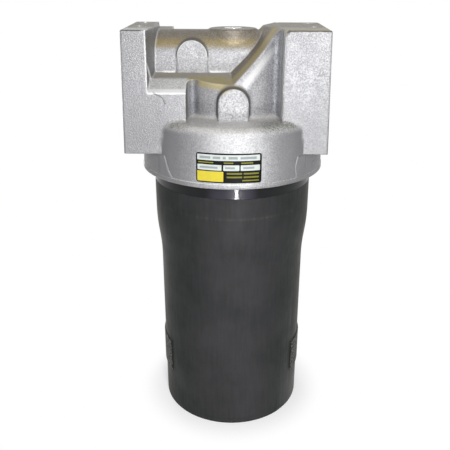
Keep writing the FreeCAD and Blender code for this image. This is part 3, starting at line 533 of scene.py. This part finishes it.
port_cut_r = 0.0178
port_cut_x = (-0.060, 0.050)
spotface_x = (-0.08, 0.07)
bowl_cut_r = 0.0695
bowl_cut_z = 0.272
screw_cut_r = 0.0056
screw_cut_z = 0.33
work = copied("head_casting")
port_faces = ((left_face_x, X), (right_face_x, -X))
for face_x, inward in port_faces:
    widened(work, Vector((face_x, 0, port_z)), inward, port_thread_r, port_root_r, *port_wall)
for x, y in screw_places:
    widened(work, Vector((x, y, top_z)), -Z, screw_r, screw_root_r, *screw_wall)
for face in work.faces:
    middle = face.calc_center_median()
    off_port = math.hypot(middle.y, middle.z - port_z)
    on_port = (abs(face.normal.x) > 0.9 and off_port < spotface_r
               and not spotface_x[0] <= middle.x <= spotface_x[1])
    in_port = off_port < port_cut_r and not port_cut_x[0] <= middle.x <= port_cut_x[1]
    in_bowl_opening = math.hypot(middle.x, middle.y) < bowl_cut_r and middle.z < bowl_cut_z
    in_screw_hole = middle.z > screw_cut_z and any(
        math.hypot(middle.x - x, middle.y - y) < screw_cut_r for x, y in screw_places)
    if on_port or in_port or in_bowl_opening or in_screw_hole:
        face.material_index = 1
head = finished(work, "head", "head", cast, milled)
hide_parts("head_casting")

work = bmesh.new()
port_turns = (port_thread_to - port_thread_from) / port_pitch - port_run_out
for face_x, inward in port_faces:
    start = Vector((face_x, 0, port_z)) + inward * (port_thread_from + port_tooth[0])
    ridge(work, start, inward, Z, profile(port_root_r, port_thread_r, *port_tooth),
          port_pitch, port_turns, port_steps)
for x, y in screw_places:
    ridge(work, Vector((x, y, top_z - screw_pitch)), -Z, X,
          profile(screw_root_r, screw_r, *screw_tooth), screw_pitch, screw_turns, screw_steps)
ridge(work, Vector((0, 0, bowl_thread_low_z + bowl_thread_pitch / 2)), Z, X,
      profile(bowl_thread_r, bowl_thread_inner_r, *head_tooth),
      bowl_thread_pitch, head_thread_turns, bowl_steps)
bmesh.ops.recalc_face_normals(work, faces=work.faces)
head_threads = finished(work, "head_threads", "head", milled)

# Under each block's front foot a low land stands on the round body, with uneven edges. Each has a
# left and a right edge, as lines of (height, degrees from the front).
land_r = 0.07772
land_sink = 0.0012
lands = {
    "land_left": (((0.2385, -49.5), (0.2580, -49.5)),
                  ((0.2385, -37.4), (0.2416, -38.0), (0.2460, -40.4), (0.2580, -44.0))),
    "land_right": (((0.2385, 40.9), (0.2430, 40.9), (0.2500, 40.0), (0.2580, 41.9)),
                   ((0.2385, 49.0), (0.2580, 49.0))),
    "land_right_line": (((0.2426, 59.2), (0.2488, 59.0)), ((0.2426, 60.2), (0.2488, 60.0))),
}


def edge_angle(line, z):
    """The angle of a land's edge at one height."""
    for (z_low, low), (z_high, high) in zip(line, line[1:]):
        if z <= z_high + 1e-9:
            return low + (high - low) * (z - z_low) / (z_high - z_low)
    return line[-1][1]


for name, (left_line, right_line) in lands.items():
    work = bmesh.new()
    bmesh.ops.create_grid(work, x_segments=8, y_segments=12, size=0.5)
    thickened(work, 1)
    for vert in work.verts:
        across, rise, outer = vert.co.x + 0.5, vert.co.y + 0.5, vert.co.z
        z = left_line[0][0] + rise * (left_line[-1][0] - left_line[0][0])
        left, right = edge_angle(left_line, z), edge_angle(right_line, z)
        angle = math.radians(left + across * (right - left))
        r = land_r - (1 - outer) * land_sink
        vert.co = (r * math.sin(angle), -r * math.cos(angle), z)
    land = finished(work, name, "head", cast)


# Bowl: an impact-extruded aluminium cup with a black coating. Its thick mouth is turned, threaded
# and grooved for the seal, and two raised grip pads with level ribs stand on its sides.
bowl_bright_z = 0.2249
male_thread_z = 0.2440
male_root_r = 0.0646
male_crest_r = 0.0662
male_wall = (0.2425, 0.2625)
male_flank = 0.00105
male_crest = 0.00035
male_turns = 5.6
pad_low_z = 0.038
pad_high_z = 0.070
pad_inside_r = 0.0652
# Of the coating colours, the violet is a painted sheen, the green painted shade and the olive a
# painted reflection.
coat_shade_green = (0.0175, 0.0205, 0.0195)
coat_sheen_violet = (0.044, 0.0415, 0.045)
coat_reflection_olive = (0.022, 0.0205, 0.0125)
coat_ring = (0.085, 0.083, 0.085)
gloss_black = (0.003, 0.0035, 0.0040)
gloss_sheen_violet = (0.024, 0.022, 0.033)
pad_pale = (0.17, 0.165, 0.13)
pad_dark = (0.010, 0.011, 0.010)
coating, tree, shader = material_for("black_coating", coat_sheen_violet, 0.0, 0.40, 1.40, 0.09)
mottle = node(tree, "ShaderNodeGroup", {"Cloud Scale": 22.0, "Speckle Scale": 1100.0},
              node_tree=metal_mottle)
place = node(tree, "ShaderNodeTexCoord")
stretch = node(tree, "ShaderNodeMapping", {"Scale": (1.0, 1.0, 0.10)})
streak = node(tree, "ShaderNodeTexNoise", {"Scale": 420.0, "Detail": 3.0, "Roughness": 0.65})
wire(tree, place.outputs["Object"], stretch.inputs["Vector"])
wire(tree, stretch.outputs["Vector"], streak.inputs["Vector"])
streaks = ramp(tree, streak.outputs["Fac"], 0.35, 0.68)
wash = ramp(tree, mottle.outputs["Cloud"], 0.36, 0.64)
tone = worked(tree, "MULTIPLY_ADD", streaks, 0.35, worked(tree, "MULTIPLY", wash, 0.65))
# Painted light and shade colour the coating: a violet sheen on the front and back, green shade
# round the sides and an olive reflection at their edges.
to_x, _, _ = split(tree, "ShaderNodeNewGeometry", "Normal")
side_on = worked(tree, "ABSOLUTE", to_x)
tone_and_sheen = worked(tree, "MULTIPLY_ADD", tone, 0.60,
              ramp(tree, side_on, 0.20, 0.80, 0.30, -0.06, kind="SMOOTHSTEP"))
skin = mixed(tree, tone_and_sheen, coat_shade_green, coat_sheen_violet)
skin = mixed(tree, ramp(tree, side_on, 0.82, 0.97, 0.0, 0.75), skin, coat_reflection_olive)
# A faint paler ring marks where the turning of the thick mouth ran out.
_, _, at_z = split(tree, "ShaderNodeTexCoord", "Object")
ring = band(tree, at_z, 0.2060, 0.2074, 0.2080, 0.2098, kind="SMOOTHSTEP")
faint = product(tree, ring, streaks, ramp(tree, mottle.outputs["Cloud"], 0.42, 0.60, 0.05, 0.5))
wire(tree, mixed(tree, faint, skin, coat_ring), shader.inputs["Base Color"])
wire(tree, ramp(tree, tone, 0.2, 0.8, 0.47, 0.36), shader.inputs["Roughness"])
edges = node(tree, "ShaderNodeGroup", {"Radius": 0.0008}, node_tree=rounded_edge)
bumped(tree, shader, worked(tree, "ADD", mottle.outputs["Speckle"], streaks), 0.2, 0.0002,
       under=edges.outputs["Normal"])

# Turned band under the head: the same coating over a smoother surface, with a painted violet
# sheen where it faces forward.
gloss, tree, shader = material_for("gloss_band", (0.004, 0.0045, 0.006), 0.0, 0.30, 1.4, 0.26)
for title, value in (("Coat Weight", 0.3), ("Coat Roughness", 0.05), ("Coat IOR", 1.3)):
    shader.inputs[title].default_value = value
_, to_y, _ = split(tree, "ShaderNodeNewGeometry", "Normal")
sheen = ramp(tree, to_y, -0.945, -0.985, kind="SMOOTHSTEP")
wire(tree, mixed(tree, sheen, gloss_black, gloss_sheen_violet), shader.inputs["Base Color"])
place = node(tree, "ShaderNodeTexCoord")
rings = node(tree, "ShaderNodeTexWave", {"Scale": 900.0, "Distortion": 1.5},
             wave_type="BANDS", bands_direction="Z")
wire(tree, place.outputs["Object"], rings.inputs["Vector"])
bumped(tree, shader, rings.outputs["Fac"], 0.05, 0.00005)

# Grip pads: the same coating with pale spots, over a coarse knurl.
pads, tree, shader = material_for("grip_pad", (0.03, 0.03, 0.03), 0.0, 0.5, 1.35)
place = node(tree, "ShaderNodeTexCoord")
knurl = node(tree, "ShaderNodeTexVoronoi", {"Scale": 520.0})
wire(tree, place.outputs["Object"], knurl.inputs["Vector"])
off_spot = ramp(tree, knurl.outputs["Distance"], 0.16, 0.44)
wire(tree, mixed(tree, off_spot, pad_pale, pad_dark), shader.inputs["Base Color"])
bumped(tree, shader, knurl.outputs["Distance"], 0.9, 0.0006, invert=True)

work = copied("bowl")
widened(work, Vector((0, 0, 0)), Z, male_crest_r, male_root_r, *male_wall)
for face in work.faces:
    middle = face.calc_center_median()
    if middle.z > bowl_bright_z + 0.0001:
        face.material_index = 1
    if math.hypot(middle.x, middle.y) > pad_inside_r and pad_low_z < middle.z < pad_high_z:
        face.material_index = 2
bowl = finished(work, "bowl_cup", "bowl", coating, gloss, pads)
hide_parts("bowl")

work = bmesh.new()
male_root = male_root_r - thread_sink
ridge(work, Vector((0, 0, male_thread_z)), Z, X,
      [(male_root, -male_flank), (male_crest_r, -male_crest),
       (male_crest_r, male_crest), (male_root, male_flank)],
      bowl_thread_pitch, male_turns, bowl_steps)
bmesh.ops.recalc_face_normals(work, faces=work.faces)
bowl_thread = finished(work, "bowl_thread", "bowl", gloss)


# Rating plate: thin printed foil stuck on the round front of the head, wrapped to its curve.
# Its fields are plain blocks of colour, and plain bars stand for its print.
plate_wrap_r = 0.07725
plate_lean = 0.0133
plate_bend_v = 0.0093
plate_bend_lean = 0.12
plate_mid_deg = -2.1
plate_z = 0.25345
plate_cuts = 24
inks = {"black": (0.010, 0.010, 0.009), "white": (0.55, 0.59, 0.57),
        "yellow": (0.60, 0.50, 0.055), "grey": (0.29, 0.32, 0.33), "olive": (0.19, 0.185, 0.035)}
# A foil has an ink, a corner radius, a lift, a thickness and its patches, each as its middle
# round the head and up, its width and its height.
foils = {
    "plate": ("black", 0.0017, 0.00005, 0.00012, [(0, 0, 0.0512, 0.0233)]),
    "plate_fields": ("white", 0.0004, 0.00015, 0.00005, [
        (-0.0002, 0.0083, 0.0487, 0.0045), (-0.0149, 0.0005, 0.0190, 0.0044),
        (0.0021, 0.0005, 0.0123, 0.0044), (0.0167, 0.0005, 0.0149, 0.0044)]),
    "plate_panel": ("yellow", 0.0004, 0.00015, 0.00005, [(-0.0143, -0.0066, 0.0206, 0.0081)]),
    "plate_print_on_white": ("grey", 0.0002, 0.00016, 0.00007, [
        (-0.0183, 0.0083, 0.0087, 0.0019), (-0.0092, 0.0083, 0.0059, 0.0019),
        (-0.0033, 0.0083, 0.0024, 0.0019), (0.0035, 0.0083, 0.0070, 0.0019),
        (0.0153, 0.0083, 0.0125, 0.0019), (-0.0155, 0.0005, 0.0143, 0.0016),
        (0.0011, 0.0005, 0.0073, 0.0016), (0.0155, 0.0005, 0.0087, 0.0016)]),
    "plate_print_on_black": ("olive", 0.0002, 0.00016, 0.00005, [
        (-0.0178, 0.0044, 0.0122, 0.0010), (0.0000, 0.0044, 0.0073, 0.0010),
        (0.0142, 0.0044, 0.0092, 0.0010), (0.0045, -0.0040, 0.0118, 0.0013),
        (0.0175, -0.0040, 0.0118, 0.0013), (0.0045, -0.0068, 0.0118, 0.0013),
        (0.0175, -0.0068, 0.0118, 0.0013), (0.0170, -0.0095, 0.0129, 0.0011)]),
}


def cut_across(part, place, normal):
    """Cut a flat patch along a line, so that it can bend there."""
    bmesh.ops.bisect_plane(part, geom=[*part.faces, *part.edges, *part.verts],
                           plane_co=place, plane_no=normal)


def foil(name, patches, corner, lift, thick, material):
    """Thin flat patches with rounded corners, wrapped round the head."""
    work = bmesh.new()
    for centre_u, centre_v, wide, high in patches:
        part = bmesh.new()
        bmesh.ops.create_grid(part, x_segments=1, y_segments=1, size=0.5)
        bmesh.ops.scale(part, vec=(wide, high, 1), verts=part.verts)
        bmesh.ops.bevel(part, geom=part.verts[:], offset=corner, offset_type="OFFSET",
                        affect="VERTICES", segments=4, profile=0.5, material=-1)
        for step in range(1, plate_cuts):
            cut_across(part, ((step / plate_cuts - 0.5) * wide, 0, 0), (1, 0, 0))
        cut_across(part, (0, plate_bend_v - centre_v, 0), (0, 1, 0))
        thickened(part, thick)
        for vert in part.verts:
            u, v, up = vert.co
            angle = math.radians(plate_mid_deg) + (centre_u + u) / plate_wrap_r
            height = centre_v + v
            bend = max(0, height - plate_bend_v) * plate_bend_lean
            r = plate_wrap_r + lift + up - height * plate_lean - bend
            vert.co = (r * math.sin(angle), -r * math.cos(angle), plate_z + height)
        patch = bpy.data.meshes.new("patch")
        part.to_mesh(patch)
        part.free()
        work.from_mesh(patch)
        bpy.data.meshes.remove(patch)
    made = finished(work, name, "head", material)


printed = {}
for title, colour in inks.items():
    printed[title], tree, shader = material_for("plate_" + title, colour, 0.0, 0.35, 1.3, 0.1)
    mottled(tree, shader, {"Cloud Scale": 260.0},
            colours=([part * 0.86 for part in colour], [part * 1.1 for part in colour]))
for name, (title, corner, lift, thick, patches) in foils.items():
    foil(name, patches, corner, lift, thick, printed[title])


# Bleed plug: a zinc-plated steel screw with a hexagon socket, in the boss on top of the gallery.
# The element's caps, tube and seat and the valve's guide have the same plating.
plated, tree, shader = material_for("zinc_plate", (0.62, 0.62, 0.60), 1.0, 0.24)
mottled(tree, shader, {"Cloud Scale": 140.0, "Speckle Scale": 1300.0},
        colours=((0.52, 0.52, 0.50), (0.74, 0.73, 0.69)), rough=(0.0, 1.0, 0.18, 0.34))
softened(tree, shader, 0.0003)


def dressed(material, *names):
    """Give carried-over CAD pieces their finish."""
    for name in names:
        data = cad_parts[name].data
        data.materials.clear()
        data.materials.append(material)


dressed(plated, "bleed_plug", "element_upper_cap", "element_core_tube", "element_lower_cap",
        "element_spring_seat", "bypass_guide")


# Seals: moulded nitrile rings of the bowl, the element, the valve and the bleed plug, and a white
# plastic ring that backs the bowl's seal.
rubber, tree, shader = material_for("nitrile", (0.02, 0.02, 0.021), 0.0, 0.5)
mottled(tree, shader, {"Speckle Scale": 1500.0}, rough=(0.0, 1.0, 0.42, 0.62))
dressed(rubber, "bowl_o_ring", "element_seal_ring", "bypass_o_ring", "bleed_plug_ring")
plastic, tree, shader = material_for("white_plastic", (0.80, 0.79, 0.75), 0.0, 0.45)
mottled(tree, shader, {}, rough=(0.0, 1.0, 0.38, 0.55), rough_by="Cloud")
dressed(plastic, "bowl_backup_ring")


# Turned aluminium pieces: the spigot that carries the element, and the bypass valve's body and
# poppet.
lathe, tree, shader = material_for("turned_aluminium", (0.72, 0.72, 0.73), 1.0, 0.26)
mottled(tree, shader, {"Speckle Scale": 2200.0}, rough=(0.0, 1.0, 0.18, 0.36))
dressed(lathe, "outlet_spigot", "bypass_body", "bypass_poppet")


# Springs and the retaining ring: bare spring steel, dark and a little oily. The bypass spring
# stands between the poppet and its guide, and shortens as the poppet opens.
spring_steel, tree, shader = material_for("spring_steel", (0.30, 0.30, 0.31), 1.0, 0.34)
mottled(tree, shader, {}, colours=((0.22, 0.22, 0.23), (0.40, 0.39, 0.38)))
dressed(spring_steel, "element_spring", "bypass_retaining_ring")
work = copied("bypass_spring")
bypass_coil = finished(work, "bypass_coil", "head", spring_steel, sharp=50)
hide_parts("bypass_spring")
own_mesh(bypass_coil)


# Filter element: pleated glass-fibre mat, cream, with the fine weave of its wire backing. Its
# metal caps and its core tube are dressed with the bleed plug.
mat, tree, shader = material_for("filter_mat", (0.82, 0.80, 0.74), 0.0, 0.85)
place = node(tree, "ShaderNodeTexCoord")
weave = node(tree, "ShaderNodeTexVoronoi", {"Scale": 900.0})
wire(tree, place.outputs["Object"], weave.inputs["Vector"])
wire(tree, mixed(tree, weave.outputs["Distance"], (0.84, 0.82, 0.76), (0.62, 0.60, 0.53)),
     shader.inputs["Base Color"])
bumped(tree, shader, weave.outputs["Distance"], 0.4, 0.0003)
dressed(mat, "element_media")


# Floor and light: a plain pale floor that turns white away from the filter, a white surround and
# soft studio lamps.
def either_shader(tree, factor, first, second):
    """A blend of two shaders."""
    made = node(tree, "ShaderNodeMixShader")
    for socket, source in zip(made.inputs, (factor, first, second)):
        wire(tree, source, socket)
    return made.outputs["Shader"]


floor_r = 6.0
shade_from_r = 0.060
white_from_r = 0.094
work = bmesh.new()
bmesh.ops.create_circle(work, cap_ends=True, segments=96, radius=floor_r)
mesh = bpy.data.meshes.new("floor")
work.to_mesh(mesh)
work.free()
floor = bpy.data.objects.new("floor", mesh)
bpy.context.scene.collection.objects.link(floor)
pale = bpy.data.materials.new("pale_floor")
pale.use_nodes = True
tree = pale.node_tree
tree.nodes.clear()
paint = node(tree, "ShaderNodeBsdfDiffuse", {"Color": (0.62, 0.62, 0.62, 1)})
lift = node(tree, "ShaderNodeEmission", {"Strength": 0.45})
near = node(tree, "ShaderNodeAddShader")
wire(tree, paint.outputs["BSDF"], near.inputs[0])
wire(tree, lift.outputs["Emission"], near.inputs[1])
white = node(tree, "ShaderNodeEmission", {"Strength": 1.0})
place = node(tree, "ShaderNodeTexCoord")
reach = node(tree, "ShaderNodeVectorMath", operation="LENGTH")
wire(tree, place.outputs["Object"], reach.inputs[0])
fade = ramp(tree, reach.outputs["Value"], shade_from_r, white_from_r, kind="SMOOTHSTEP")
seen = either_shader(tree, fade, near.outputs["Shader"], white.outputs["Emission"])
path = node(tree, "ShaderNodeLightPath")
direct = largest(tree, path.outputs["Is Camera Ray"], path.outputs["Is Glossy Ray"])
out = node(tree, "ShaderNodeOutputMaterial")
wire(tree, either_shader(tree, direct, paint.outputs["BSDF"], seen), out.inputs["Surface"])
floor.data.materials.append(pale)

world = bpy.data.worlds.new("studio")
bpy.context.scene.world = world
world.use_nodes = True
tree = world.node_tree
tree.nodes.clear()
bright, soft = (
    node(tree, "ShaderNodeBackground", {"Color": (1, 1, 1, 1), "Strength": strength})
    for strength in (1.0, 0.12))
path = node(tree, "ShaderNodeLightPath")
direct = largest(tree, path.outputs["Is Camera Ray"], path.outputs["Is Glossy Ray"],
                 path.outputs["Is Transmission Ray"])
out = node(tree, "ShaderNodeOutputWorld")
wire(tree, either_shader(tree, direct, soft.outputs["Background"], bright.outputs["Background"]),
     out.inputs["Surface"])

# Each lamp: its name, its place, what it is aimed at, its width, its height and its power.
lamps = (("key", (0.16, -1.12, 0.82), (0, 0, 0.2), 0.34, 0.34, 10.5),
         ("front", (0.12, -0.90, 0.24), (0, 0, 0.25), 0.26, 0.26, 2.2),
         ("fill", (-0.9, -0.7, 0.7), (0, 0, 0.2), 0.8, 0.8, 0.4),
         ("strip", (0.052, -0.50, 0.078), (0, -0.068, 0.232), 0.042, 0.034, 0.72),
         ("back", (-0.40, 1.05, 0.16), (0, 0, 0.2), 0.34, 0.28, 6.0))
for name, place, target, wide, high, power in lamps:
    lamp = bpy.data.lights.new(name, "AREA")
    lamp.shape = "RECTANGLE"
    lamp.size = wide
    lamp.size_y = high
    lamp.energy = power
    lit = bpy.data.objects.new(name, lamp)
    lit.location = place
    aim = Vector(target) - Vector(place)
    lit.rotation_euler = aim.to_track_quat("-Z", "Y").to_euler()
    lit.visible_camera = False
    bpy.context.scene.collection.objects.link(lit)
bpy.context.scene.view_settings.view_transform = "Standard"
